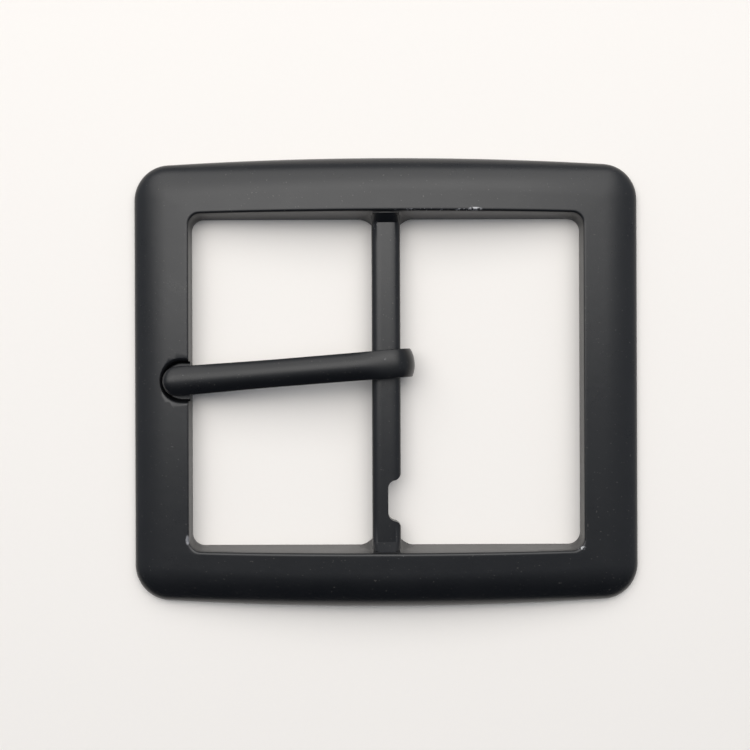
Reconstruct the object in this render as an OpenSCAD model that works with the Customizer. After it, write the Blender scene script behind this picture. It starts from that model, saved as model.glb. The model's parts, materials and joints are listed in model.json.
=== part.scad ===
// Centre-bar belt buckle: one rim casting with its bar, and a loose prong hooked round the bar.
//
// The buckle lies face up. +Z points out of its front, +X and +Y run along and across the strap, and
// the origin is the middle of its flat back. All sizes are in millimetres.

/* [Strap] */
// Width of the strap that the buckle is made for
strap_w = 40; // [32:0.5:50]
// Play between the strap and the window, both sides together
strap_play = 0.5; // [0.2:0.1:1.5]

/* [Rim] */
// Length of the window, measured along the strap
window_len = 48.3; // [38:0.1:60]
// Width of the two end rails, which lie across the strap
end_rail_w = 7.05; // [5.5:0.05:9]
// Width of the two side rails at their middle
side_rail_w = 7.35; // [5.8:0.05:9]
// Fall of the side rails' outer edges from their middle to the rim's ends
edge_bow = 0.85; // [0.3:0.05:1.5]
// Radius of the rim's outer corners
outer_corner_r = 4.4; // [3:0.1:6]
// Radius of the window's corners at the back
window_corner_r = 1.5; // [0.8:0.1:2.2]
// Height of the rim at the middle of its side rails
rim_h = 4.6; // [3.8:0.1:6]
// Fall of the arched front from the middle to the ends of the window
arch_fall = 1.6; // [0.8:0.1:1.9]
// Distance from the outer edge in to the crest of the rounded outer side
roll_w = 3.5; // [2.5:0.1:4.2]
// Rounding under the outer edge, at the back
back_round_r = 0.6; // [0.2:0.1:1]
// Draft of the window's long walls from back to front
wall_draft = 0.4; // [0.1:0.05:0.6]
// Rounding of the window's front edge
front_edge_r = 0.25; // [0.1:0.05:0.5]

/* [Bar] */
// Width of the bar
bar_w = 3.5; // [2.8:0.1:4.4]
// Thickness of the bar
bar_t = 2.0; // [1.6:0.1:2.6]
// Rounding of the bar's long edges
bar_edge_r = 0.8; // [0.3:0.1:0.8]
// Fillet where the bar's sides run into the rim
bar_root_r = 1.2; // [0.6:0.1:2]
// Fillet where the bar's top runs into the rim
bar_top_root_r = 0.6; // [0.3:0.1:1]
// Width that is left at the waist, where the prong is hooked on
waist_w = 2.0; // [1.5:0.1:2.3]
// Length of the waist's opening
waist_len = 5.6; // [4.6:0.1:8]
// Distance from the window's wall to the middle of the waist
waist_from_wall = 5.8; // [5:0.1:8]

/* [Prong] */
// Width of the hook and of the tongue where it leaves the hook
hook_w = 3.45; // [2.8:0.05:4.2]
// Width of the tongue at its middle
tongue_w = 3.3; // [2.6:0.05:4]
// Width of the rounded tip
tip_w = 3.6; // [3:0.05:4.4]
// Thickness of the tongue
tongue_t = 2.2; // [1.8:0.1:3]
// Thickness of the tip
tip_t = 2.0; // [1.6:0.1:2.6]
// Upward crown of the tongue between hook and tip
tongue_crown = 0.35; // [0:0.05:1]
// Wall of the hook over the bar
hook_wall = 1.1; // [0.8:0.1:1.6]
// Wall of the hook at its outer end
hook_nose_wall = 1.5; // [1:0.1:2]
// Wall of the hook under the bar
hook_under_wall = 0.65; // [0.5:0.05:1]
// Height of the hook's underside above the back
hook_lift = 0.1; // [0.05:0.05:0.4]
// Gap between the hook's bore and the bar at its nearest corner
hook_play = 0.15; // [0.1:0.05:0.4]
// How far the bar sits below the middle of the hook's bore
bar_sag = 0.25; // [0:0.05:0.3]
// Turn of the tongue out of square with the bar
prong_skew = 4.4; // [0:0.1:5]
// Place of the hook along the bar, from its middle
prong_along = 2.15; // [-3:0.05:3]

/* [Seat] */
// Depth of the seat in the end rail under the tip
seat_depth = 1.5; // [1:0.1:2]
// Gap between the tip and the wall of the seat, all round in plan
seat_side_gap = 0.65; // [0.4:0.05:1]
// Gap between the tip and the wall at the seat's end
seat_end_gap = 0.2; // [0.1:0.05:0.6]
// Gap between the tip's underside and the seat's floor
seat_floor_gap = 0.05; // [0.02:0.01:0.2]

/* [Finish] */
// Colour of the coated castings
coat_colour = "#2b2c2f";

/* [Hidden] */

curve_fn = 96; // segments of round cuts and bores
hull_fn = 32; // segments of rounded ends inside a hull
rail_steps = 3; // stations along half an end rail
corner_steps = 7; // stations round a corner
side_steps = 9; // stations along half a side rail
roll_steps = 8; // section points over the rounded outer side
under_steps = 3; // section points under the outer edge
overlap = 0.5; // how far a cut or a joined piece runs past a face
seat_from_roll = 0.1; // how far the seat's end stays short of the rounded outer side

// Rim
window_h = strap_w + strap_play;
rim_len = window_len + 2 * end_rail_w;
rim_w = window_h + 2 * side_rail_w;
bow_r = (pow(rim_len / 2, 2) + pow(edge_bow, 2)) / (2 * edge_bow);
bow_centre_y = rim_w / 2 - bow_r;
arch_r = (pow(window_len / 2, 2) + pow(arch_fall, 2)) / (2 * arch_fall);
corner_x = rim_len / 2 - outer_corner_r;
corner_y = bow_centre_y + sqrt(pow(bow_r - outer_corner_r, 2) - pow(corner_x, 2));
corner_turn = 90 - asin(corner_x / (bow_r - outer_corner_r)); // where the corner meets the bowed edge
side_end_x = corner_x * bow_r / (bow_r - outer_corner_r);
outer_edge_share = 0.22; // height of the outermost line, as a share of the crest's height

// Bar, in section: x across the strap's pull, z up
bar_corner_x = bar_w / 2 - bar_edge_r;
bar_corner_z = bar_t / 2 - bar_edge_r;
bar_reach = bar_edge_r + sqrt(pow(bar_corner_x, 2) + pow(bar_corner_z + bar_sag, 2));
bore_r = bar_reach + hook_play;
pivot_z = hook_lift + hook_under_wall + bore_r;
bar_z = pivot_z - bar_sag;
waist_cut = bar_w - waist_w;
waist_y = waist_from_wall - window_h / 2;
least_root_r = 0.05; // the smallest fillet on the bar's top, where a low rim leaves no room for more
top_root_r = max(least_root_r, min(bar_top_root_r, rim_h - front_edge_r - bar_z - bar_t / 2));

// Seat and tip
end_rail_h = front_z(window_len / 2);
seat_floor_z = end_rail_h - seat_depth;
seat_r = tip_w / 2 + seat_side_gap;
seat_end_x = -(rim_len / 2 - roll_w - seat_from_roll);
seat_centre_x = seat_end_x + seat_r;
tip_end_x = seat_end_x + seat_end_gap;
tip_from_pivot = (-tip_end_x - tip_w / 2) / cos(prong_skew);
tip_z = seat_floor_z + seat_floor_gap + tip_t / 2;
seat_y = prong_along - tip_from_pivot * sin(prong_skew);

// Hook
hook_top_z = pivot_z + bore_r + hook_wall;
hook_r = bore_r + hook_wall;
hook_shift = hook_nose_wall - hook_wall; // the outside is pushed towards the hook's nose
hook_end_angle = 250; // where the hook ends, under the bar
mouth_angle = 185; // where the mouth ends, under the tongue
tongue_root_x = -1.2; // where the tongue leaves the hook's top
tongue_root_z = hook_top_z - tongue_t / 2;

// Height of the arched front at a distance x from the middle
function front_z(x) = rim_h - arch_r + sqrt(pow(arch_r, 2) - pow(x, 2));

// A quarter of the rim's plan, from the end rail's middle to the side rail's middle.
// Each station holds a point on the window's edge and the outer point that belongs to it.
quarter = concat(
    [for (i = [0:rail_steps - 1])
        let (f = i / rail_steps)
        [[window_len / 2, f * (window_h / 2 - window_corner_r)], [rim_len / 2, f * corner_y]]],
    [for (i = [0:corner_steps])
        let (a = 90 * i / corner_steps, b = corner_turn * i / corner_steps)
        [[window_len / 2 - window_corner_r, window_h / 2 - window_corner_r]
            + window_corner_r * [cos(a), sin(a)],
         [corner_x, corner_y] + outer_corner_r * [cos(b), sin(b)]]],
    [for (i = [1:side_steps])
        let (f = 1 - i / side_steps, x = f * side_end_x)
        [[f * (window_len / 2 - window_corner_r), window_h / 2],
         [x, bow_centre_y + sqrt(pow(bow_r, 2) - pow(x, 2))]]]
);

function mirrored(stations, sx, sy) = [for (s = stations) [for (p = s) [sx * p.x, sy * p.y]]];
function reversed(list) = [for (i = [len(list) - 1:-1:0]) list[i]];
function without_last(list) = [for (i = [0:len(list) - 2]) list[i]];

// The whole plan, counter-clockwise, each station once
plan = concat(
    without_last(quarter),
    without_last(reversed(mirrored(quarter, -1, 1))),
    without_last(mirrored(quarter, -1, -1)),
    without_last(reversed(mirrored(quarter, 1, -1)))
);

// The rim's section at one station, from the window's back edge up and over to the outer back edge
function section(station) =
    let (
        inner = station[0],
        span = norm(station[1] - inner),
        out = (station[1] - inner) / span,
        draft = wall_draft * pow(out.y, 2),
        edge = front_z(x_at(inner, out, draft)),
        crest = inner + (span - roll_w) * out,
        crest_z = front_z(crest.x),
        belt_z = outer_edge_share * crest_z
    )
    concat(
        [at(inner, out, 0, 0),
         at(inner, out, draft * (1 - front_edge_r / edge), edge - front_edge_r),
         at(inner, out, draft + front_edge_r, front_z(x_at(inner, out, draft + front_edge_r)))],
        [for (i = [0:roll_steps])
            let (a = 90 * i / roll_steps)
            at(inner, out, span - roll_w + roll_w * sin(a), belt_z + (crest_z - belt_z) * cos(a))],
        [for (i = [1:under_steps])
            let (a = 90 * i / under_steps)
            at(inner, out, span - back_round_r * (1 - cos(a)), belt_z * (1 - sin(a)))]
    );

// A point of the section, a distance out from the window's edge and a height above the back
function at(inner, out, distance, z) = [inner.x + distance * out.x, inner.y + distance * out.y, z];

// The x of that point
function x_at(inner, out, distance) = (inner + distance * out).x;

module rim() {
    rings = [for (station = plan) section(station)];
    n = len(rings);
    m = len(rings[0]);
    points = [for (ring = rings) each ring];
    faces = [for (i = [0:n - 1], j = [0:m - 1])
        let (
            here = i * m,
            next = ((i + 1) % n) * m,
            up = (j + 1) % m
        )
        each [[here + j, next + up, here + up], [here + j, next + j, next + up]]];
    polyhedron(points, faces);
}

// The bar's section: a rectangle with rounded edges
module bar_section() {
    square([bar_w, bar_t - 2 * bar_edge_r], center = true);
    square([bar_w - 2 * bar_edge_r, bar_t], center = true);
    for (sx = [-1, 1], sz = [-1, 1])
        translate([sx * bar_corner_x, sz * bar_corner_z]) circle(r = bar_edge_r, $fn = curve_fn);
}

// A concave fillet's section, filling the corner at the origin between +x and +y
module fillet_section(r) {
    difference() {
        translate([-overlap, -overlap]) square(r + overlap);
        translate([r, r]) circle(r = r, $fn = curve_fn);
    }
}

module bar() {
    length = window_h + 2 * wall_draft + 2 * overlap;
    translate([0, 0, bar_z]) rotate([90, 0, 0])
        linear_extrude(length, center = true) bar_section();
    for (end = [0, 1]) mirror([0, end, 0]) bar_roots();
}

// Fillets at one end of the bar: one at each side of it and one on its top
module bar_roots() {
    wall_y = -window_h / 2;
    for (side = [0, 1]) mirror([side, 0, 0])
        translate([bar_w / 2, wall_y, bar_z - bar_corner_z])
            linear_extrude(2 * bar_corner_z) fillet_section(bar_root_r);
    translate([0, wall_y, bar_z + bar_t / 2]) rotate([90, 0, 90])
        linear_extrude(2 * bar_corner_x, center = true) fillet_section(top_root_r);
}

// The opening in the bar's side where the prong is hooked on
module waist() {
    half = waist_len / 2 - waist_cut;
    translate([bar_w / 2, waist_y, bar_z - bar_t]) linear_extrude(2 * bar_t) {
        translate([-waist_cut, -half]) square([waist_cut + overlap, 2 * half]);
        for (s = [-1, 1])
            translate([0, s * half]) circle(r = waist_cut, $fn = curve_fn);
    }
}

// The round-ended seat that the tip lies in
module seat() {
    translate([seat_centre_x, seat_y, seat_floor_z]) {
        cylinder(r = seat_r, h = rim_h, $fn = curve_fn);
        translate([0, -seat_r, 0]) cube([end_rail_w, 2 * seat_r, rim_h]);
    }
}

module frame() {
    color(coat_colour) difference() {
        union() {
            rim();
            bar();
        }
        waist();
        seat();
    }
}

// A rounded lump of the tongue, centred, of a given length, width and thickness
module lump(size) {
    scale(size / 2) sphere(r = 1, $fn = hull_fn);
}

module tongue() {
    middle = [-tip_from_pivot / 2, 0, (tongue_root_z + tip_z) / 2 + tongue_crown];
    root = [tongue_root_x, 0, tongue_root_z];
    tip = [-tip_from_pivot, 0, tip_z];
    hull() {
        translate(root) lump([tongue_t, hook_w, tongue_t]);
        translate(middle) lump([tongue_t, tongue_w, tongue_t]);
    }
    hull() {
        translate(middle) lump([tongue_t, tongue_w, tongue_t]);
        translate(tip) lump([tip_w, tip_w, tip_t]);
    }
}

// The hook's outside, open at the mouth, lying along Y
module hook() {
    far = 3 * hook_r;
    translate([0, 0, pivot_z]) rotate([90, 0, 0]) difference() {
        translate([hook_shift, 0, 0]) cylinder(r = hook_r, h = hook_w, center = true, $fn = curve_fn);
        linear_extrude(2 * hook_w, center = true)
            polygon([[0, 0], far * [cos(hook_end_angle), sin(hook_end_angle)], [-far, -far],
                far * [cos(mouth_angle), sin(mouth_angle)]]);
    }
}

module prong() {
    color(coat_colour) translate([0, prong_along, 0]) difference() {
        rotate([0, 0, prong_skew]) {
            hook();
            tongue();
        }
        translate([0, 0, pivot_z]) rotate([90, 0, 0])
            cylinder(r = bore_r, h = 3 * hook_w, center = true, $fn = curve_fn);
        translate([-hook_r, -hook_w, hook_lift - 2 * hook_r]) cube([3 * hook_r, 2 * hook_w, 2 * hook_r]);
    }
}

frame();
prong();
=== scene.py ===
"""A satin black centre-bar belt buckle, lying face up on white paper.

The buckle is two castings. The frame is a bowed, arched rim with a bar across its window; the prong is
hooked round the bar and rests in a seat in the end rail. Both are modelled in millimetres, and each is
scaled to metres in its mesh when it is finished.
"""

import json
import logging
import math
from collections.abc import Callable, Sequence
from dataclasses import dataclass, field
from enum import Enum

import bmesh
import bpy
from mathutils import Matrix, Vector

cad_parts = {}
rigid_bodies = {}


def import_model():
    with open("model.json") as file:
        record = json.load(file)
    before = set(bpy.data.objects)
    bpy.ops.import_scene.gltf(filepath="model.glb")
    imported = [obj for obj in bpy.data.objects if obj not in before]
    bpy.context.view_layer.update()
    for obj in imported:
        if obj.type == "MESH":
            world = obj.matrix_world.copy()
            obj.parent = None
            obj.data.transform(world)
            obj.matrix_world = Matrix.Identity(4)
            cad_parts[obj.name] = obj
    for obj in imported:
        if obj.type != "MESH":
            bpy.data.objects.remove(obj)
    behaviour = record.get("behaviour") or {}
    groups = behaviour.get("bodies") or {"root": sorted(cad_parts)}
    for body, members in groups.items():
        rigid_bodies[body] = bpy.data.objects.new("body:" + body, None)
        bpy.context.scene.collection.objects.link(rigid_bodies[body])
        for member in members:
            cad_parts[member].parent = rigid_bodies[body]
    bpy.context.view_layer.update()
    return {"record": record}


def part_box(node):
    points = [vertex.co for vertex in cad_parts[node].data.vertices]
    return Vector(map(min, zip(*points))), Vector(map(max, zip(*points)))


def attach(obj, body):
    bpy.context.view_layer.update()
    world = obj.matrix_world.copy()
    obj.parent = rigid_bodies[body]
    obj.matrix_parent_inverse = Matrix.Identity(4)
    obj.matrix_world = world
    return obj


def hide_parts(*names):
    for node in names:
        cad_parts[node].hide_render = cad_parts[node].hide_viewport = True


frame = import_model()

MM = 0.001
WELD = 0.003  # points nearer than this, in millimetres, are one
FINE_WELD = 0.0005  # the same, after a boolean
CLOSE_WELD = 0.01  # the same, where an outline comes back to its start
PEN_SIZE = 0.1  # the size of the square that an outline's first point is made from
FACING = 0.9  # how nearly a face's normal agrees with a direction that it faces
SMOOTH_ANGLE = math.radians(35)  # edges that bend by less than this show no crease
CAGE_HALF = 0.5  # half the height of a lattice, in its own coordinates
HALF_TURN = math.pi
QUARTER_TURN = math.pi / 2

MIX_FIRST, MIX_SECOND = 6, 7  # the colour sockets of a Mix node
MIX_RESULT = 2

Point = Sequence[float]
Colour = tuple[float, float, float]

log = logging.getLogger("buckle")


# ---- The bench: shaping a mesh with Blender's own operators ----


class Kind(Enum):
    """What a selection in edit mode picks."""

    POINTS = "VERT"
    EDGES = "EDGE"
    FACES = "FACE"


class Join(Enum):
    """What a boolean does with its second piece."""

    WELD_ON = "UNION"
    CUT_AWAY = "DIFFERENCE"


class Axis(Enum):
    """An axis of the buckle."""

    X = (1.0, 0.0, 0.0)
    Y = (0.0, 1.0, 0.0)
    Z = (0.0, 0.0, 1.0)


class Workpiece:
    """A mesh in edit mode, with its object at the origin. All places and sizes are in millimetres."""

    def __init__(self, name: str) -> None:
        """Start with an empty mesh.

        Args:
            name: The name of the piece.
        """
        bpy.ops.object.select_all(action="DESELECT")
        bpy.ops.mesh.primitive_plane_add(size=1)
        self.object = bpy.context.object
        self.object.name = self.object.data.name = name
        bpy.ops.object.mode_set(mode="EDIT")
        bpy.ops.mesh.select_mode(type=Kind.POINTS.value)
        bpy.ops.mesh.delete(type="VERT")

    def select(self, wanted: Callable[[Vector], bool], kind: Kind = Kind.POINTS) -> None:
        """Select what lies wholly on points that pass a test, and nothing else.

        Args:
            wanted: Says of a place whether a point there is selected.
            kind: Whether points, edges or faces are then worked on.
        """
        bpy.ops.mesh.select_mode(type=Kind.POINTS.value)
        bpy.ops.mesh.select_all(action="DESELECT")
        mesh = bmesh.from_edit_mesh(self.object.data)
        for point in mesh.verts:
            point.select_set(wanted(point.co))
        mesh.select_flush(True)
        bmesh.update_edit_mesh(self.object.data)
        bpy.ops.mesh.select_mode(type=kind.value)

    def select_facing(self, direction: Point) -> None:
        """Select the largest face that points in a direction, and nothing else.

        Args:
            direction: The way that its normal points.
        """
        bpy.ops.mesh.select_mode(type=Kind.FACES.value)
        bpy.ops.mesh.select_all(action="DESELECT")
        mesh = bmesh.from_edit_mesh(self.object.data)
        facing = [face for face in mesh.faces if face.normal.dot(Vector(direction)) > FACING]
        max(facing, key=lambda face: face.calc_area()).select_set(True)
        bmesh.update_edit_mesh(self.object.data)

    def pen_down(self, place: Point) -> None:
        """Start an outline with a single point, which stays selected.

        Args:
            place: Where the point is.
        """
        bpy.ops.mesh.select_mode(type=Kind.POINTS.value)
        bpy.ops.mesh.select_all(action="DESELECT")
        bpy.ops.mesh.primitive_plane_add(size=PEN_SIZE, location=place, align="WORLD")
        bpy.ops.mesh.merge(type="CENTER")

    def line(self, move: Point, steps: int = 1) -> None:
        """Draw on in a straight line, or pull what is selected straight out.

        Args:
            move: From here to the end.
            steps: How many equal lengths that takes.
        """
        step = tuple(Vector(move) / steps)
        for _ in range(steps):
            bpy.ops.mesh.extrude_region_move(TRANSFORM_OT_translate={"value": step})

    def arc(self, centre: Point, turn: float, steps: int, axis: Axis = Axis.Z) -> None:
        """Draw on round a centre.

        Args:
            centre: The centre.
            turn: The angle in radians, right-handed about the axis.
            steps: How many edges the arc has.
            axis: The axis that it turns about.
        """
        bpy.ops.mesh.spin(steps=steps, angle=-turn, center=centre, axis=axis.value)

    def close_outline(self, filled: bool = True) -> None:
        """Weld the last point of the outline to its first.

        Args:
            filled: Whether the outline becomes a face.
        """
        bpy.ops.mesh.select_linked()
        bpy.ops.mesh.remove_doubles(threshold=CLOSE_WELD)
        if filled:
            bpy.ops.mesh.edge_face_add()

    def move(self, move: Point) -> None:
        """Move what is selected."""
        bpy.ops.transform.translate(value=tuple(move))

    def resize(self, factors: Point, centre: Point) -> None:
        """Resize what is selected about a centre."""
        bpy.ops.transform.resize(value=tuple(factors), center_override=tuple(centre))

    def turn(self, angle: float, axis: Axis, centre: Point) -> None:
        """Turn what is selected, right-handed, by an angle in radians."""
        bpy.ops.transform.rotate(value=-angle, orient_axis=axis.name, center_override=tuple(centre))

    def inset(self, inwards: float, up: float) -> None:
        """Inset the selected face and raise it along its normal."""
        bpy.ops.mesh.inset(thickness=inwards, depth=up, use_even_offset=True)

    def drop_face(self) -> None:
        """Take the selected face away and leave its edges."""
        bpy.ops.mesh.delete(type="ONLY_FACE")

    def bridge(self, cuts: int = 0) -> None:
        """Skin over the gap between the two selected rings of edges.

        Args:
            cuts: How many rings are added between them.
        """
        bpy.ops.mesh.bridge_edge_loops(number_cuts=cuts, interpolation="LINEAR")

    def skin(self) -> None:
        """Skin over the gap between the last two outlines, which are the only open edges."""
        self.select_open()
        self.bridge()

    def cap(self) -> None:
        """Close the last opening with a face."""
        self.select_open()
        bpy.ops.mesh.edge_face_add()

    def select_open(self) -> None:
        """Select the edges that have one face or none, and nothing else."""
        bpy.ops.mesh.select_mode(type=Kind.EDGES.value)
        bpy.ops.mesh.select_all(action="DESELECT")
        bpy.ops.mesh.select_non_manifold(extend=False)

    def outwards(self) -> None:
        """Turn all the faces outwards."""
        bpy.ops.mesh.select_all(action="SELECT")
        bpy.ops.mesh.normals_make_consistent(inside=False)

    def round_edges(self, radius: float, steps: int) -> None:
        """Bevel the selected edges round."""
        bpy.ops.mesh.bevel(offset=radius, segments=steps, affect="EDGES", clamp_overlap=False)

    def round_corners(self, radius: float, steps: int) -> None:
        """Bevel the corners of the selected face round, in its plane."""
        bpy.ops.mesh.bevel(offset=radius, segments=steps, affect="VERTICES", clamp_overlap=False)

    def finish(self) -> bpy.types.Object:
        """Weld the skin, turn its faces outwards and leave edit mode.

        Returns:
            The closed piece, still in millimetres.
        """
        bpy.ops.mesh.select_mode(type=Kind.POINTS.value)
        bpy.ops.mesh.select_all(action="SELECT")
        bpy.ops.mesh.remove_doubles(threshold=WELD)
        self.outwards()
        bpy.ops.object.mode_set(mode="OBJECT")
        return self.object


def make_active(piece: bpy.types.Object) -> None:
    """Select one piece alone and make it the active one.

    Args:
        piece: The piece.
    """
    bpy.ops.object.select_all(action="DESELECT")
    piece.select_set(True)
    bpy.context.view_layer.objects.active = piece


def join(piece: bpy.types.Object, tool: bpy.types.Object, how: Join) -> None:
    """Weld a second piece on, or cut its shape away, and use it up.

    Args:
        piece: The piece that stays.
        tool: The piece that is used up.
        how: Whether to weld or to cut.
    """
    make_active(piece)
    bpy.ops.object.modifier_add(type="BOOLEAN")
    boolean = piece.modifiers[-1]
    boolean.operation = how.value
    boolean.solver = "EXACT"
    boolean.object = tool
    bpy.ops.object.modifier_apply(modifier=boolean.name)
    bpy.data.objects.remove(tool)


def to_metres(piece: bpy.types.Object) -> None:
    """Scale a finished piece from millimetres to metres, in its mesh, and shade it smooth.

    Args:
        piece: The piece.
    """
    make_active(piece)
    bpy.ops.object.mode_set(mode="EDIT")
    bpy.ops.mesh.select_mode(type=Kind.POINTS.value)
    bpy.ops.mesh.select_all(action="SELECT")
    bpy.ops.mesh.remove_doubles(threshold=FINE_WELD)
    bpy.ops.transform.resize(value=(MM, MM, MM), center_override=(0, 0, 0))
    bpy.ops.object.mode_set(mode="OBJECT")
    bpy.ops.object.shade_smooth_by_angle(angle=SMOOTH_ANGLE)
    bpy.ops.object.modifier_add(type="WEIGHTED_NORMAL")
    piece.modifiers[-1].keep_sharp = True
    bpy.ops.object.modifier_apply(modifier=piece.modifiers[-1].name)


# ---- Finishes ----


class Wire:
    """A socket's value, worked on with ordinary arithmetic."""

    def __init__(self, board: "Board", socket: bpy.types.NodeSocket) -> None:
        """Hold the board and its socket that gives the value."""
        self.board = board
        self.socket = socket

    def _math(self, operation: str, *values: "Wire | float") -> "Wire":
        """Add one Math node."""
        return self.board.node("ShaderNodeMath", {"operation": operation}, dict(enumerate(values)))

    def __add__(self, other: "Wire | float") -> "Wire":
        """Add."""
        return self._math("ADD", self, other)

    __radd__ = __add__

    def __sub__(self, other: "Wire | float") -> "Wire":
        """Subtract."""
        return self._math("SUBTRACT", self, other)

    def __rsub__(self, other: "Wire | float") -> "Wire":
        """Subtract from a number."""
        return self._math("SUBTRACT", other, self)

    def __mul__(self, other: "Wire | float") -> "Wire":
        """Multiply."""
        return self._math("MULTIPLY", self, other)

    def rise(self, start: float, end: float) -> "Wire":
        """Go smoothly from 0 at one value to 1 at another."""
        inputs = {"Value": self, "From Min": start, "From Max": end}
        return self.board.node("ShaderNodeMapRange", {"interpolation_type": "SMOOTHSTEP"}, inputs)


@dataclass(frozen=True)
class Noise:
    """What a noise is like.

    Args:
        size: The size of its lumps, in millimetres.
        detail: How many finer layers it has.
        rough: How strong the finer layers are.
    """

    size: float
    detail: float
    rough: float = 0.5


class Board:
    """The nodes of a material or of the air round the table."""

    def __init__(self, owner: bpy.types.Material | bpy.types.World) -> None:
        """Turn the nodes on and find the shader.

        Args:
            owner: The new material or world.
        """
        owner.use_nodes = True
        self.owner = owner
        self.nodes = owner.node_tree.nodes
        self.links = owner.node_tree.links
        self.shader = next(node for node in self.nodes if node.type in ("BSDF_PRINCIPLED", "BACKGROUND"))

    def put(self, socket: bpy.types.NodeSocket, value: object) -> None:
        """Give a socket its value.

        Args:
            socket: The socket of a node.
            value: A wire to link into it, or its own value.
        """
        if isinstance(value, Wire):
            self.links.new(value.socket, socket)
        else:
            socket.default_value = value

    def node(
        self,
        kind: str,
        settings: dict[str, object] | None = None,
        inputs: dict[str | int, object] | None = None,
        output: str | int = 0,
    ) -> Wire:
        """Add a node.

        Args:
            kind: The node's type.
            settings: Its own settings, which are set first.
            inputs: The wires or values of its sockets, by name or number.
            output: The socket that the result comes from.

        Returns:
            The result.
        """
        made = self.nodes.new(kind)
        for key, value in (settings or {}).items():
            setattr(made, key, value)
        for key, value in (inputs or {}).items():
            self.put(made.inputs[key], value)
        return Wire(self, made.outputs[output])

    def place(self) -> Wire:
        """The piece's own coordinates, in metres."""
        return self.node("ShaderNodeTexCoord", output="Object")

    def noise(self, noise: Noise) -> Wire:
        """A noise over the piece.

        Args:
            noise: What it is like.

        Returns:
            A value about 0.5.
        """
        scale = 1 / (noise.size * MM)
        inputs = {"Vector": self.place(), "Scale": scale, "Detail": noise.detail, "Roughness": noise.rough}
        return self.node("ShaderNodeTexNoise", inputs=inputs)

    def distance(self, centre: Point, reach: Point) -> Wire:
        """How far it is from a place.

        Args:
            centre: The place, in millimetres.
            reach: How far 1 is along each axis, in millimetres.

        Returns:
            The distance, as a share of the reach.
        """
        kind = "ShaderNodeVectorMath"
        middle = tuple(part * MM for part in centre)
        scale = tuple(1 / (part * MM) for part in reach)
        offset = self.node(kind, {"operation": "SUBTRACT"}, {0: self.place(), 1: middle})
        offset = self.node(kind, {"operation": "MULTIPLY"}, {0: offset, 1: scale})
        return self.node(kind, {"operation": "LENGTH"}, {0: offset}, "Value")

    def blend(self, share: Wire | float, low: Wire | Colour, high: Wire | Colour) -> Wire:
        """A colour between two colours.

        Args:
            share: How much of the second colour there is, from 0 to 1.
            low: The first colour.
            high: The second colour.

        Returns:
            The colour.
        """
        first, second = (end if isinstance(end, Wire) else (*end, 1.0) for end in (low, high))
        inputs = {"Factor": share, MIX_FIRST: first, MIX_SECOND: second}
        return self.node("ShaderNodeMix", {"data_type": "RGBA"}, inputs, MIX_RESULT)

    def bump(self, height: Wire, depth: float, strength: float = 1.0) -> Wire:
        """Bumps from a height.

        Args:
            height: The height, from 0 to 1.
            depth: How high 1 stands, in millimetres.
            strength: How much of it shows.

        Returns:
            The bent normal.
        """
        inputs = {"Height": height, "Distance": depth * MM, "Strength": strength}
        return self.node("ShaderNodeBump", inputs=inputs)

    def finish(self, **values: object) -> bpy.types.Material | bpy.types.World:
        """Set the shader's sockets.

        Args:
            **values: Wires or values, by the socket's name with _ for a space.

        Returns:
            The material or world.
        """
        for name, value in values.items():
            self.put(self.shader.inputs[name.replace("_", " ")], value)
        return self.owner


@dataclass(frozen=True)
class Wear:
    """A place where the coat is worn. Sizes in millimetres.

    Args:
        centre: The middle of the place.
        reach: How far it runs from there along each axis.
        cover: How much of it is worn through: nearly all at 1, a few chips at 0, hardly any below 0.
    """

    centre: tuple[float, float, float]
    reach: tuple[float, float, float]
    cover: float


@dataclass(frozen=True)
class SatinCoat:
    """A satin black coat on a zinc casting: a little orange-peeled, smudged, and worn through in places."""

    name: str
    wear: tuple[Wear, ...] = ()
    dark: Colour = (0.0040, 0.0043, 0.0051)
    light: Colour = (0.0068, 0.0070, 0.0080)
    metal: Colour = (0.30, 0.30, 0.31)
    gloss: float = 0.5
    roughness: float = 0.30
    roughness_spread: float = 0.09
    metal_roughness: float = 0.38
    cloud: Noise = Noise(5.0, 4.0, 0.6)
    peel: Noise = Noise(1.1, 1.0)
    peel_depth: float = 0.007
    grain: Noise = Noise(0.16, 2.0, 0.6)
    grain_depth: float = 0.0012
    dust: Noise = Noise(0.22, 0.0)
    dust_from: float = 0.79
    dust_to: float = 0.84
    dust_colour: Colour = (0.045, 0.043, 0.04)
    chips: Noise = Noise(0.35, 3.0, 0.65)
    chip_least: float = 0.62
    chip_spread: float = 0.24
    chip_edge: float = 0.05
    wear_fade: float = 0.5

    def material(self) -> bpy.types.Material:
        """Build the material.

        Returns:
            The material.
        """
        board = Board(bpy.data.materials.new(self.name))
        cloud, grain, peel = (board.noise(noise) for noise in (self.cloud, self.grain, self.peel))
        dust = board.noise(self.dust).rise(self.dust_from, self.dust_to)
        bare = self._bare(board)
        coat = board.blend(dust, board.blend(cloud, self.dark, self.light), self.dust_colour)
        rough = (grain + cloud - 1.0) * self.roughness_spread + self.roughness
        height = peel + grain * (self.grain_depth / self.peel_depth)
        return board.finish(
            Base_Color=board.blend(bare, coat, self.metal),
            Metallic=bare,
            Roughness=rough + (self.metal_roughness - rough) * bare,
            Specular_IOR_Level=self.gloss,
            Normal=board.bump(height, self.peel_depth),
        )

    def _bare(self, board: Board) -> Wire | float:
        """Work out where the bare metal shows.

        Args:
            board: The material's board.

        Returns:
            The share of bare metal, from 0 to 1.
        """
        chips = board.noise(self.chips)
        bare: Wire | float = 0.0
        for place in self.wear:
            near = 1.0 - board.distance(place.centre, place.reach)
            level = self.chip_least - self.chip_spread * place.cover
            bare = bare + near.rise(0.0, self.wear_fade) * chips.rise(level, level + self.chip_edge)
        return bare


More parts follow.
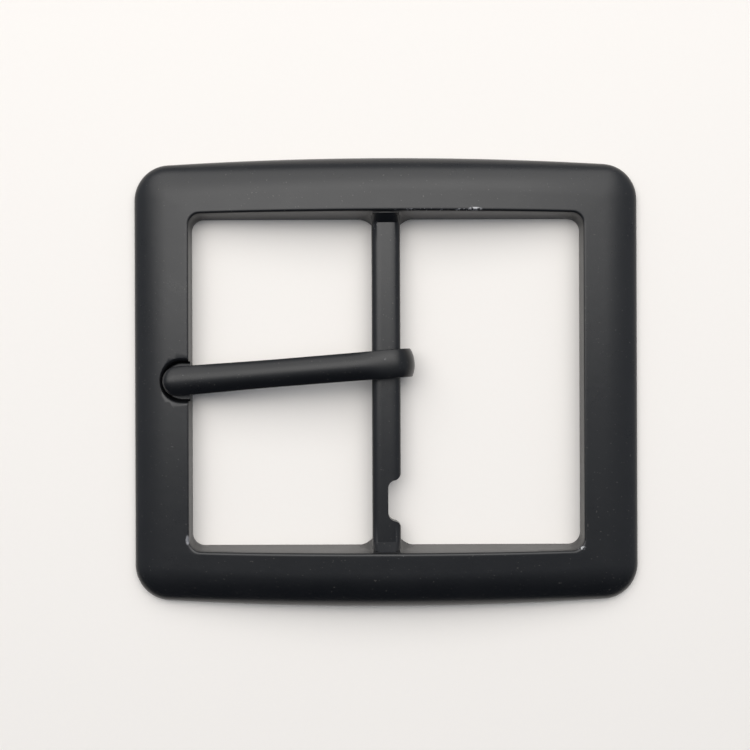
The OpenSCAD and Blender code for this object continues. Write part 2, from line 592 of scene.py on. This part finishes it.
@dataclass(frozen=True)
class Paper:
    """Smooth white paper."""

    name: str = "white_paper"
    colour: Colour = (0.885, 0.848, 0.805)
    shade: Colour = (0.872, 0.835, 0.793)
    fibre: Noise = Noise(0.6, 4.0, 0.6)
    fibre_depth: float = 0.01
    fibre_share: float = 0.3
    roughness: float = 0.75

    def material(self) -> bpy.types.Material:
        """Build the material.

        Returns:
            The material.
        """
        board = Board(bpy.data.materials.new(self.name))
        fibre = board.noise(self.fibre)
        return board.finish(
            Base_Color=board.blend(fibre, self.shade, self.colour),
            Roughness=self.roughness,
            Normal=board.bump(fibre, self.fibre_depth, self.fibre_share),
        )


# ---- The frame casting ----


@dataclass
class Rim:
    """The rim without its bar: a bowed rectangle outside, a straight one inside. Sizes in millimetres."""

    half_len: float
    half_width: float
    height: float
    window_half_len: float = 24.15
    window_half_width: float = 20.25
    window_corner_r: float = 1.5
    corner_r: float = 4.4
    edge_bow: float = 0.85
    arch_fall: float = 1.6
    roll_w: float = 5.6
    roll_power: float = 2.6
    crest_in: float = 4.1
    back_round_r: float = 0.6
    belt_share: float = 0.22
    belt_band: float = 0.1
    wall_draft: float = 0.4
    front_edge_r: float = 0.3
    back_edge_r: float = 0.12
    rail_steps: int = 56
    side_steps: int = 72
    corner_steps: int = 16
    roll_steps: int = 18
    edge_steps: int = 5
    back_edge_steps: int = 3
    face_cuts: int = 5
    wall_proud: float = 1.0
    wall_cuts: int = 2
    arch_columns: int = 40
    bow_r: float = field(init=False)
    bow_y: float = field(init=False)
    arch_r: float = field(init=False)
    belt_top: float = field(init=False)
    crest_z: float = field(init=False)

    def __post_init__(self) -> None:
        """Work out the radii of the bow and the arch, and the heights of the band and the crest."""
        self.bow_r = (self.half_len**2 + self.edge_bow**2) / (2 * self.edge_bow)
        self.bow_y = self.half_width - self.bow_r
        self.arch_r = (self.window_half_len**2 + self.arch_fall**2) / (2 * self.arch_fall)
        self.belt_top = self.belt_share * self.height + self.belt_band / 2
        self.crest_z = self.belt_top + (self.height - self.belt_top) * self._roll_share(self.crest_in)

    def _roll_share(self, inwards: float) -> float:
        """The share of the roll's height that is reached at a distance in from the outer edge."""
        return (1 - (1 - inwards / self.roll_w) ** self.roll_power) ** (1 / self.roll_power)

    def front_z(self, x: float) -> float:
        """The height of the arched front at a distance x from the middle."""
        return self.height - self.arch_r + math.sqrt(self.arch_r**2 - x**2)

    def front_slope(self, x: float) -> float:
        """The angle at which the arched front rises along X, in radians."""
        return -math.asin(x / self.arch_r)

    def build(self) -> bpy.types.Object:
        """Build the rim: the rolled outside, the back, the window's walls and the arched front.

        Returns:
            The rim, in millimetres.
        """
        work = Workpiece("frame_casting")
        self._outside(work)
        self._window(work)
        piece = work.finish()
        self._arch(piece)
        return piece

    def _outside(self, work: Workpiece) -> None:
        """Draw the outline, thicken it to a band, and inset it up to the crest and down to the back.

        Args:
            work: The workpiece.
        """
        band_bottom = self.belt_top - self.belt_band
        inner_bow_r = self.bow_r - self.corner_r
        corner_x = self.half_len - self.corner_r
        corner_y = self.bow_y + math.sqrt(inner_bow_r**2 - corner_x**2)
        side_turn = math.asin(corner_x / inner_bow_r)
        corner_turn = QUARTER_TURN - side_turn
        work.pen_down((self.half_len, -corner_y, band_bottom))
        for side in (1, -1):
            work.line((0, side * 2 * corner_y, 0), self.rail_steps)
            work.arc((side * corner_x, side * corner_y, band_bottom), corner_turn, self.corner_steps)
            work.arc((0, side * self.bow_y, band_bottom), 2 * side_turn, self.side_steps)
            work.arc((-side * corner_x, side * corner_y, band_bottom), corner_turn, self.corner_steps)
        work.close_outline()
        work.line((0, 0, self.belt_band))
        work.outwards()
        for up, rings in ((1, self._roll()), (-1, self._under(band_bottom))):
            work.select_facing((0, 0, up))
            for here, there in zip(rings, rings[1:]):
                work.inset(there[0] - here[0], there[1] - here[1])
            work.drop_face()

    def _roll(self) -> list[tuple[float, float]]:
        """The rounded outer side.

        Returns:
            Distances in, and heights above the band.
        """
        power = 2 / self.roll_power
        last = math.acos((1 - self.crest_in / self.roll_w) ** (1 / power))
        turns = [last * step / self.roll_steps for step in range(self.roll_steps + 1)]
        tall = self.height - self.belt_top
        return [(self.roll_w * (1 - math.cos(a) ** power), tall * math.sin(a) ** power) for a in turns]

    def _under(self, tall: float) -> list[tuple[float, float]]:
        """The rounding under the outer edge: distances in, and depths below the band."""
        turns = [QUARTER_TURN * step / self.edge_steps for step in range(self.edge_steps + 1)]
        return [(self.back_round_r * (1 - math.cos(a)), tall * math.sin(a)) for a in turns]

    def _window(self, work: Workpiece) -> None:
        """Stand the window's wall through the rim, skin over to it, level the faces and round its edges.

        Args:
            work: The workpiece.
        """
        edge_x = self.window_half_len + WELD
        edge_y = self.window_half_width + self.wall_draft + WELD
        self._window_outline(work, 0, -self.wall_proud)
        self._window_outline(work, self.wall_draft, self.height + self.wall_proud)
        work.select(lambda p: abs(p.x) < edge_x and abs(p.y) < edge_y, Kind.EDGES)
        work.bridge(self.wall_cuts)
        work.select(lambda p: p.z > self.crest_z - WELD, Kind.EDGES)
        work.bridge(self.face_cuts)
        work.select(lambda p: p.z > self.crest_z - WELD)
        rise = self.height - self.crest_z
        work.resize((1, 1, rise / (rise + self.wall_proud)), (0, 0, self.crest_z))
        work.select(lambda p: p.z < WELD, Kind.EDGES)
        work.bridge()
        work.select(lambda p: p.z < WELD)
        work.resize((1, 1, 0), (0, 0, 0))
        work.outwards()
        front = (self.height, self.front_edge_r, self.edge_steps)
        back = (0, self.back_edge_r, self.back_edge_steps)
        for z, radius, steps in (front, back):
            work.select(
                lambda p, z=z: abs(p.z - z) < WELD and abs(p.x) < edge_x and abs(p.y) < edge_y, Kind.EDGES
            )
            work.round_edges(radius, steps)

    def _window_outline(self, work: Workpiece, draft: float, z: float) -> None:
        """Draw the window's edge at one height.

        Args:
            work: The workpiece.
            draft: How far the long sides are moved out.
            z: The height.
        """
        corner_x = self.window_half_len - self.window_corner_r
        corner_y = self.window_half_width - self.window_corner_r + draft
        work.pen_down((self.window_half_len, -corner_y, z))
        for side in (1, -1):
            work.line((0, side * 2 * corner_y, 0), self.rail_steps)
            work.arc((side * corner_x, side * corner_y, z), QUARTER_TURN, self.corner_steps)
            work.line((-side * 2 * corner_x, 0, 0), self.side_steps)
            work.arc((-side * corner_x, side * corner_y, z), QUARTER_TURN, self.corner_steps)
        work.close_outline(filled=False)

    def _arch(self, piece: bpy.types.Object) -> None:
        """Lower the front towards both ends with a lattice, and leave the back flat.

        Args:
            piece: The rim.
        """
        bpy.ops.object.select_all(action="DESELECT")
        bpy.ops.object.add(type="LATTICE", location=(0, 0, self.height / 2))
        cage = bpy.context.object
        length = 2 * self.half_len
        cage.scale = (length, 2 * self.half_width, self.height)
        cage.data.points_u, cage.data.points_v, cage.data.points_w = self.arch_columns, 2, 2
        cage.data.interpolation_type_u = "KEY_CATMULL_ROM"
        cage.data.interpolation_type_v = cage.data.interpolation_type_w = "KEY_LINEAR"
        for point in cage.data.points:
            if point.co.z > 0:
                point.co_deform.z = self.front_z(point.co.x * length) / self.height - CAGE_HALF
        make_active(piece)
        bpy.ops.object.modifier_add(type="LATTICE")
        piece.modifiers[-1].object = cage
        bpy.ops.object.modifier_apply(modifier=piece.modifiers[-1].name)
        bpy.data.objects.remove(cage)


@dataclass
class Bar:
    """The bar across the window, with its flared roots and its waist. Sizes in millimetres."""

    z: float = 2.501
    wall_y: float = 20.5
    waist_y: float = -14.45
    width: float = 3.5
    thickness: float = 2.0
    edge_w: float = 1.3
    edge_r: float = 0.8
    edge_steps: int = 10
    arch_fall: float = 0.3
    span_steps: int = 16
    root_out: float = 0.12
    root_up: float = 0.95
    root_len: float = 1.05
    root_steps: int = 6
    gusset_out: float = 2.0
    gusset_len: float = 0.95
    gusset_from: float = 0.3
    gusset_to: float = 4.1
    gusset_least: float = 0.1
    gusset_layers: int = 5
    gusset_steps: int = 10
    wall_foot_y: float = 20.26
    wall_slope: float = 0.4 / 4.6
    sink: float = 0.8
    waist_depth: float = 1.55
    waist_half_open: float = 3.45
    waist_turn: float = math.radians(78)
    waist_proud: float = 0.02
    waist_steps: int = 10
    floor_steps: int = 4
    past: float = 1.0
    lip_r: float = 0.22
    lip_steps: int = 6
    lip_turn: float = math.radians(82)

    def build(self) -> bpy.types.Object:
        """Build the bar by pulling its section from one wall to the other.

        Returns:
            The bar, in millimetres.
        """
        work = Workpiece("bar")
        half = self.wall_y + self.sink
        stretch = self.edge_w / self.edge_r
        centre = (0, -half, self.z)
        bpy.ops.mesh.primitive_plane_add(size=1, location=centre, align="WORLD")
        work.turn(QUARTER_TURN, Axis.X, centre)
        work.resize((self.width / stretch, 1, self.thickness), centre)
        work.round_corners(self.edge_r, self.edge_steps)
        bpy.ops.mesh.select_all(action="SELECT")
        work.resize((stretch, 1, 1), centre)
        old_y, old_z, old_wide, old_tall = -half, self.z, self.width / 2, self.thickness / 2
        for number, (y, wide, tall) in enumerate(self._stations()):
            z = self.z - self.arch_fall * (y / self.wall_y) ** 2
            if number:
                work.line((0, y - old_y, z - old_z))
            else:
                work.move((0, 0, z - old_z))
            work.resize((wide / old_wide, 1, tall / old_tall), (0, y, z))
            old_y, old_z, old_wide, old_tall = y, z, wide, tall
        return work.finish()

    def _stations(self) -> list[tuple[float, float, float]]:
        """Work out the bar's size from end to end.

        Returns:
            Places along the bar, with half the width and half the thickness there.
        """
        half_w, half_t = self.width / 2, self.thickness / 2
        root = [(-self.wall_y - self.sink, 1.0)]
        for step in range(self.root_steps, -1, -1):
            share = step / self.root_steps
            root.append((self.root_len * (1 - share) - self.wall_y, share))
        inner = self.wall_y - self.root_len
        span = [(inner * (2 * step / self.span_steps - 1), 0.0) for step in range(1, self.span_steps)]
        shares = root + span + [(-y, share) for y, share in reversed(root)]
        return [(y, half_w + self.root_out * share, half_t + self.root_up * share) for y, share in shares]

    def gusset(self, end: int) -> bpy.types.Object:
        """Build the hollow-curved swell of the window's wall at one end of the bar.

        Args:
            end: 0 for the end at -Y, 1 for the other.

        Returns:
            The swell, which is widest at the back and runs out at the front.
        """
        work = Workpiece("gusset")
        for layer in range(self.gusset_layers + 1):
            share = layer / self.gusset_layers
            z = self.gusset_from + (self.gusset_to - self.gusset_from) * share
            self._gusset_outline(work, 1 - (1 - self.gusset_least) * share, z, filled=layer == 0)
            if layer:
                work.skin()
        work.cap()
        bpy.ops.mesh.select_all(action="SELECT")
        work.turn(HALF_TURN * end, Axis.Z, (0, 0, 0))
        return work.finish()

    def _gusset_outline(self, work: Workpiece, share: float, z: float, filled: bool) -> None:
        """Draw the swell's outline at one height.

        Args:
            work: The workpiece.
            share: The share of its full spread.
            z: The height.
            filled: Whether the outline becomes a face.
        """
        half = self.width / 2 - self.root_out
        out, turn = self.gusset_out * share, 2 * math.atan2(self.gusset_len, self.gusset_out)
        radius = out / math.sin(turn)
        wall = -self.wall_foot_y - self.wall_slope * z
        work.pen_down((half + out, wall - self.sink, z))
        work.line((0, self.sink, 0))
        work.arc((half + out, wall + radius, z), -turn, self.gusset_steps)
        work.line((-2 * half, 0, 0))
        work.arc((-half - out, wall + radius, z), -turn, self.gusset_steps)
        work.line((0, -self.sink, 0))
        work.line((2 * (half + out), 0, 0))
        work.close_outline(filled)

    def waist_cutter(self) -> bpy.types.Object:
        """Build the shape that is cut out of the bar's side, flared to leave rounded lips.

        Returns:
            The shape.
        """
        work = Workpiece("waist_cutter")
        layers = [(self.past, 1 - math.cos(self.lip_turn))]
        for step in range(self.lip_steps, -1, -1):
            a = self.lip_turn * step / self.lip_steps
            layers.append((self.lip_r * (math.sin(a) - math.sin(self.lip_turn)), 1 - math.cos(a)))
        half = self.thickness / 2
        rings = [(-half - rise, flare) for rise, flare in layers]
        rings += [(half + rise, flare) for rise, flare in reversed(layers)]
        for number, (rise, flare) in enumerate(rings):
            self._waist_outline(work, self.lip_r * flare, self.z + rise, filled=number == 0)
            if number:
                work.skin()
        work.cap()
        return work.finish()

    def _waist_outline(self, work: Workpiece, grow: float, z: float, filled: bool) -> None:
        """Draw the waist's outline at one height: two S-curves with the floor between.

        Args:
            work: The workpiece.
            grow: How far it is grown all round.
            z: The height.
            filled: Whether the outline becomes a face.
        """
        side_x = self.width / 2 + self.waist_proud
        curve_r = (self.waist_depth + self.waist_proud) / (2 * (1 - math.cos(self.waist_turn)))
        lip_r, floor_r = curve_r - grow, curve_r + grow
        low, high = self.waist_y - self.waist_half_open, self.waist_y + self.waist_half_open
        centre_x = side_x - curve_r
        floor_x = centre_x + 2 * curve_r * math.cos(self.waist_turn)
        advance = 2 * curve_r * math.sin(self.waist_turn)
        work.pen_down((side_x + self.past, low, z))
        work.line((lip_r - curve_r - self.past, 0, 0))
        work.arc((centre_x, low, z), self.waist_turn, self.waist_steps)
        work.arc((floor_x, low + advance, z), -self.waist_turn, self.waist_steps)
        work.line((0, 2 * (self.waist_half_open - advance), 0), self.floor_steps)
        work.arc((floor_x, high - advance, z), -self.waist_turn, self.waist_steps)
        work.arc((centre_x, high, z), self.waist_turn, self.waist_steps)
        work.line((curve_r - lip_r + self.past, 0, 0))
        work.line((0, low - high, 0))
        work.close_outline(filled)


@dataclass
class Seat:
    """The round-ended seat that the prong's tip lies in. Sizes in millimetres."""

    centre: tuple[float, float] = (-25.15, 0.18)
    floor_z: float = 1.5
    radius: float = 2.45
    length: float = 4.0
    floor_r: float = 0.35
    lip_r: float = 0.55
    steps: int = 32
    side_steps: int = 4
    ring_steps: int = 8
    lip_turn: float = math.radians(84)
    past: float = 1.0

    def cutter(self, rim: Rim) -> bpy.types.Object:
        """Build the shape that is cut out of the end rail: a filleted floor and a flared lip.

        Args:
            rim: The rim that it is cut out of, whose front the lip follows.

        Returns:
            The shape.
        """
        work = Workpiece("seat_cutter")
        front_z, slope = rim.front_z(self.centre[0]), rim.front_slope(self.centre[0])
        pivot = (*self.centre, front_z)
        rings = []
        for step in range(self.ring_steps + 1):
            a = QUARTER_TURN * step / self.ring_steps
            rise = self.floor_r * (1 - math.cos(a))
            rings.append((self.floor_z + rise, self.floor_r * (math.sin(a) - 1), 0.0))
        for step in range(self.ring_steps + 1):
            a = self.lip_turn * step / self.ring_steps
            drop = self.lip_r * (math.sin(self.lip_turn) - math.sin(a))
            rings.append((front_z - drop, self.lip_r * (1 - math.cos(a)), slope))
        rings.append((front_z + self.past, rings[-1][1], slope))
        for number, (z, grow, tilt) in enumerate(rings):
            self._outline(work, grow, z, filled=number == 0)
            work.turn(-tilt, Axis.Y, pivot)
            if number:
                work.skin()
        work.cap()
        return work.finish()

    def _outline(self, work: Workpiece, grow: float, z: float, filled: bool) -> None:
        """Draw the seat's outline at one height.

        Args:
            work: The workpiece.
            grow: How far it is grown all round.
            z: The height.
            filled: Whether the outline becomes a face.
        """
        x, y = self.centre
        radius = self.radius + grow
        work.pen_down((x + self.length, y - radius, z))
        work.line((-self.length, 0, 0), self.side_steps)
        work.arc((x, y, z), -HALF_TURN, self.steps)
        work.line((self.length, 0, 0), self.side_steps)
        work.line((0, -2 * radius, 0), self.side_steps)
        work.close_outline(filled)


# ---- The prong casting ----


def ease(share: float) -> float:
    """Go smoothly from 0 to 1 as the share does, and stay there beyond."""
    share = min(max(share, 0.0), 1.0)
    return share * share * (3 - 2 * share)


@dataclass
class Station:
    """One place of the section along the prong, in the prong's own upright plane. Sizes in millimetres."""

    x: float
    z: float
    tilt: float
    half_width: float
    thickness: float


@dataclass
class Prong:
    """The prong: a tongue with a crowned top that runs over and round the bar. Sizes in millimetres."""

    pivot_y: float
    pivot_z: float
    reach: float = 25.66
    tip_z: float = 2.55
    skew: float = math.radians(4.4)
    hook_w: float = 3.45
    tongue_w: float = 3.38
    tip_w: float = 3.6
    tongue_t: float = 2.2
    tip_t: float = 2.0
    tip_blunt: float = 3.0
    thin_from: float = 0.75
    crown: float = 0.35
    bore_r: float = 2.0
    hook_r: float = 3.1
    hook_shift: float = 0.4
    under_room: float = 2.65
    waist_x: float = -13.0
    blend_len: float = 3.6
    hook_end: float = math.radians(-110)
    loop_start: float = math.radians(118)
    loop_end: float = math.radians(185)
    loop_share: float = 0.94
    end_turn: float = math.radians(80)
    section_w: float = 3.15
    section_t: float = 2.2
    top_r: float = 2.3
    top_turn: float = math.radians(40)
    foot_r: float = 0.6
    side_steps: int = 2
    shoulder_steps: int = 7
    top_steps: int = 8
    foot_steps: int = 5
    under_steps: int = 4
    end_steps: int = 9
    tongue_steps: int = 30
    tongue_spacing: float = 1.3
    hook_steps: int = 30

    def build(self) -> bpy.types.Object:
        """Build the prong, in its place on the bar.

        Returns:
            The prong, in millimetres.
        """
        work = Workpiece("prong_casting")
        self._sweep(work, self._tip() + self._tongue() + self._hook())
        self._place(work)
        piece = work.finish()
        work = Workpiece("loop")
        self._sweep(work, self._loop())
        self._place(work)
        join(piece, work.finish(), Join.WELD_ON)
        return piece

    def _place(self, work: Workpiece) -> None:
        """Move the whole piece along the bar and turn it askew.

        Args:
            work: The workpiece.
        """
        bpy.ops.mesh.select_all(action="SELECT")
        work.move((0, self.pivot_y, 0))
        work.turn(self.skew, Axis.Z, (0, self.pivot_y, 0))

    def _section(self, work: Workpiece, x: float, z: float) -> None:
        """Draw the section upright: a flat foot, straight sides, round shoulders and a low crown.

        Args:
            work: The workpiece.
            x: Where it stands.
            z: The height of its middle.
        """
        half_w, half_t = self.section_w / 2, self.section_t / 2
        shoulder_turn = QUARTER_TURN - self.top_turn
        shoulder_r = (half_w - self.top_r * math.sin(self.top_turn)) / (1 - math.sin(self.top_turn))
        fall = self.top_r * (1 - math.cos(self.top_turn)) + shoulder_r * math.cos(self.top_turn)
        shoulder_z = z + half_t - fall
        foot_z = z - half_t + self.foot_r
        foot_y = half_w - self.foot_r
        work.pen_down((x, half_w, foot_z))
        work.line((0, 0, shoulder_z - foot_z), self.side_steps)
        work.arc((x, half_w - shoulder_r, shoulder_z), shoulder_turn, self.shoulder_steps, Axis.X)
        work.arc((x, 0, z + half_t - self.top_r), 2 * self.top_turn, self.top_steps, Axis.X)
        work.arc((x, shoulder_r - half_w, shoulder_z), shoulder_turn, self.shoulder_steps, Axis.X)
        work.line((0, 0, foot_z - shoulder_z), self.side_steps)
        work.arc((x, -foot_y, foot_z), QUARTER_TURN, self.foot_steps, Axis.X)
        work.line((0, 2 * foot_y, 0), self.under_steps)
        work.arc((x, foot_y, foot_z), QUARTER_TURN, self.foot_steps, Axis.X)
        work.close_outline()

    def _sweep(self, work: Workpiece, stations: Sequence[Station]) -> None:
        """Pull the section through its stations.

        Args:
            work: The workpiece, still empty.
            stations: Where the section goes.
        """
        first = stations[0]
        self._section(work, first.x, first.z)
        old = Station(first.x, first.z, 0, self.section_w / 2, self.section_t)
        for number, new in enumerate(stations):
            centre = (new.x, 0, new.z)
            if number:
                work.line((new.x - old.x, 0, new.z - old.z))
            work.turn(-old.tilt, Axis.Y, centre)
            work.resize((1, new.half_width / old.half_width, new.thickness / old.thickness), centre)
            work.turn(new.tilt, Axis.Y, centre)
            old = new

    def _tip(self) -> list[Station]:
        """The rounded tip.

        Returns:
            The stations, from its end inwards.
        """
        stations = []
        for step in range(self.end_steps):
            a = self.end_turn * (1 - step / self.end_steps)
            x = -self.reach - self.tip_w / 2 * math.sin(a)
            tall = self.tip_t * (1 - math.sin(a) ** self.tip_blunt) ** (1 / self.tip_blunt)
            stations.append(Station(x, self.tip_z, 0, self.tip_w / 2 * math.cos(a), tall))
        return stations

    def _tongue(self) -> list[Station]:
        """The tongue.

        Returns:
            The stations, from the tip to the top of the hook.
        """
        top_z = self.pivot_z + self._hook_wall(QUARTER_TURN) + self.bore_r
        tip_top_z = self.tip_z + self.tip_t / 2
        stations = []
        for step in range(self.tongue_steps):
            share = (1 - step / self.tongue_steps) ** self.tongue_spacing
            x = -self.reach * share
            bow = 4 * self.crown * share * (1 - share)  # as high as the crown halfway along
            z = top_z + (tip_top_z - top_z) * share + bow
            wide = self.tongue_w
            if x < self.waist_x:
                wide += (self.tip_w - self.tongue_w) * ease((self.waist_x - x) / (self.waist_x + self.reach))
            else:
                wide += (self.hook_w - self.tongue_w) * (1 - x / self.waist_x) ** 2
            thinning = ease((share - self.thin_from) / (1 - self.thin_from))
            tall = self.tongue_t + (self.tip_t - self.tongue_t) * thinning
            tall += (self._hook_wall(QUARTER_TURN) - tall) * ease(1 + x / self.blend_len)
            stations.append(Station(x, z - tall / 2, 0, wide / 2, tall))
        return stations

    def _hook_wall(self, angle: float) -> float:
        """The hook's thickness at a place.

        Args:
            angle: The angle about the bore. A quarter turn is straight above it.

        Returns:
            The thickness.
        """
        across = self.hook_shift * math.sin(angle)
        outer = self.hook_shift * math.cos(angle) + math.sqrt(self.hook_r**2 - across**2)
        if math.sin(angle) < 0:
            outer = min(outer, self.under_room / -math.sin(angle))
        return outer - self.bore_r

    def _round(self, start: float, end: float, width: float) -> list[Station]:
        """Go round the bore, with a rounded end.

        Args:
            start: The first angle about the bore.
            end: The angle where the rounded end begins.
            width: The width.

        Returns:
            The stations.
        """
        stations = []
        way = math.copysign(1, end - start)
        for step in range(self.hook_steps + 1):
            stations.append(self._on_bore(start + (end - start) * step / self.hook_steps, width, 1))
        end_r = self._hook_wall(end) / 2
        for step in range(1, self.end_steps + 1):
            a = self.end_turn * step / self.end_steps
            advance = way * end_r * math.sin(a) / (self.bore_r + end_r)
            stations.append(self._on_bore(end + advance, width - 2 * end_r * (1 - math.cos(a)), math.cos(a)))
        return stations

    def _on_bore(self, angle: float, width: float, share: float) -> Station:
        """Place one station round the bore.

        Args:
            angle: The angle about the bore.
            width: The width.
            share: The share of the hook's wall that it keeps.

        Returns:
            The station.
        """
        wall = self._hook_wall(angle)
        radius = self.bore_r + wall / 2
        x, z = radius * math.cos(angle), self.pivot_z + radius * math.sin(angle)
        return Station(x, z, QUARTER_TURN - angle, width / 2, wall * share)

    def _hook(self) -> list[Station]:
        """The hook, over and round the bar to its end under it."""
        return self._round(QUARTER_TURN, self.hook_end, self.hook_w)

    def _loop(self) -> list[Station]:
        """The loop's other side, which comes down from inside the tongue to the hook's mouth."""
        return self._round(self.loop_start, self.loop_end, self.loop_share * self.hook_w)


# ---- The buckle and the table that it lies on ----

FRAME_WEAR = (
    Wear((6.5, 20.8, 4.4), (6.5, 0.2, 0.6), 0.25),
    Wear((10.8, 20.9, 4.3), (1.0, 0.28, 0.6), 0.9),
    Wear((1.0, -21.3, 4.5), (2.2, 0.7, 0.5), -0.2),
    Wear((-24.3, -19.2, 3.0), (0.3, 0.7, 0.6), 1.2),
    Wear((-1.4, 19.3, 3.3), (0.5, 0.9, 0.7), 0.1),
    Wear((23.8, -20.3, 3.0), (0.7, 0.3, 0.6), 0.4),
)
PRONG_WEAR = (
    Wear((1.0, 2.4, 5.8), (2.0, 1.0, 0.4), -0.25),
    Wear((-25.6, 0.6, 3.5), (1.4, 1.1, 0.4), -0.35),
)


def dress(piece: bpy.types.Object, body: str, material: bpy.types.Material) -> None:
    """Scale and coat a piece, and let it ride on its body in the CAD node's place.

    Args:
        piece: The piece, in millimetres.
        body: The body that it rides on. Its only CAD node, which the piece replaces, has the same name.
        material: The material.
    """
    to_metres(piece)
    piece.data.materials.clear()
    piece.data.materials.append(material)
    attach(piece, body)
    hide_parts(body)
    log.info("%s: %d faces", piece.name, len(piece.data.polygons))


def build_frame() -> None:
    """Build the frame casting: the rim, the bar with its roots and waist, and the seat."""
    high = Vector(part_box("frame")[1]) / MM
    rim = Rim(half_len=high.x, half_width=high.y, height=high.z)
    piece = rim.build()
    bar = Bar()
    join(piece, bar.build(), Join.WELD_ON)
    for end in (0, 1):
        join(piece, bar.gusset(end), Join.WELD_ON)
    join(piece, bar.waist_cutter(), Join.CUT_AWAY)
    seat = Seat()
    join(piece, seat.cutter(rim), Join.CUT_AWAY)
    dress(piece, "frame", SatinCoat("frame_satin_black", FRAME_WEAR).material())


def build_prong() -> None:
    """Build the prong casting."""
    joint = frame["record"]["behaviour"]["joints"][0]
    pivot = Vector(joint["pos_m"]) / MM
    piece = Prong(pivot_y=pivot.y, pivot_z=pivot.z).build()
    dress(piece, "prong", SatinCoat("prong_satin_black", PRONG_WEAR, gloss=0.4).material())


@dataclass(frozen=True)
class Lamp:
    """A broad soft lamp that is aimed at the table's middle. Sizes in metres."""

    name: str
    place: tuple[float, float, float]
    size: tuple[float, float]
    radiance: float
    colour: Colour = (1.0, 0.98, 0.95)

    def light(self) -> None:
        """Hang the lamp."""
        lamp = bpy.data.lights.new(self.name, "AREA")
        lamp.shape = "RECTANGLE"
        lamp.size, lamp.size_y = self.size
        lamp.energy = self.radiance * math.pi * self.size[0] * self.size[1]
        lamp.color = self.colour
        holder = bpy.data.objects.new(self.name, lamp)
        holder.location = self.place
        holder.rotation_euler = Vector(self.place).to_track_quat("Z", "Y").to_euler()
        bpy.context.scene.collection.objects.link(holder)


@dataclass
class Table:
    """White paper under two broad lamps, in a room that is dark in front, and a camera straight above."""

    camera_place: tuple[float, float, float] = (-0.00137, 0.00087, 0.125)
    camera_turn: float = math.radians(-0.2)
    lens: float = 48.03
    paper_size: float = 1.5
    lamps: tuple[Lamp, ...] = (
        Lamp("ceiling", (-0.02, 0.262, 0.43), (0.95, 0.6), 1.75),
        Lamp("window", (-0.03, 0.13, 0.36), (0.46, 0.15), 1.35),
    )
    dark: Colour = (0.026, 0.036, 0.054)
    light: Colour = (0.44, 0.47, 0.52)
    dark_from: float = -0.55
    light_from: float = -0.02

    def build(self) -> None:
        """Lay the paper, light the room and set up the camera."""
        bpy.ops.object.select_all(action="DESELECT")
        bpy.ops.mesh.primitive_plane_add(size=self.paper_size)
        sheet = bpy.context.object
        sheet.name = "paper"
        sheet.data.materials.append(Paper().material())
        for lamp in self.lamps:
            lamp.light()
        self._air()
        self._camera()

    def _air(self) -> None:
        """Light the room evenly, but for the dark side in front."""
        board = Board(bpy.data.worlds.new("room"))
        way = board.node("ShaderNodeTexCoord", output="Generated")
        across = board.node("ShaderNodeSeparateXYZ", inputs={0: way}, output="Y")
        share = across.rise(self.dark_from, self.light_from)
        bpy.context.scene.world = board.finish(Color=board.blend(share, self.dark, self.light), Strength=1.0)

    def _camera(self) -> None:
        """Hang the camera over the buckle, looking straight down."""
        eye = bpy.data.cameras.new("camera")
        eye.lens = self.lens
        holder = bpy.data.objects.new("camera", eye)
        holder.location = self.camera_place
        holder.rotation_euler = (0, 0, self.camera_turn)
        scene = bpy.context.scene
        scene.collection.objects.link(holder)
        scene.camera = holder
        scene.view_settings.view_transform = "Standard"


def main() -> None:
    """Build the buckle and its table, and report each piece."""
    logging.basicConfig(level=logging.INFO, format="%(name)s: %(message)s")
    build_frame()
    build_prong()
    Table().build()


if __name__ == "__main__":
    main()
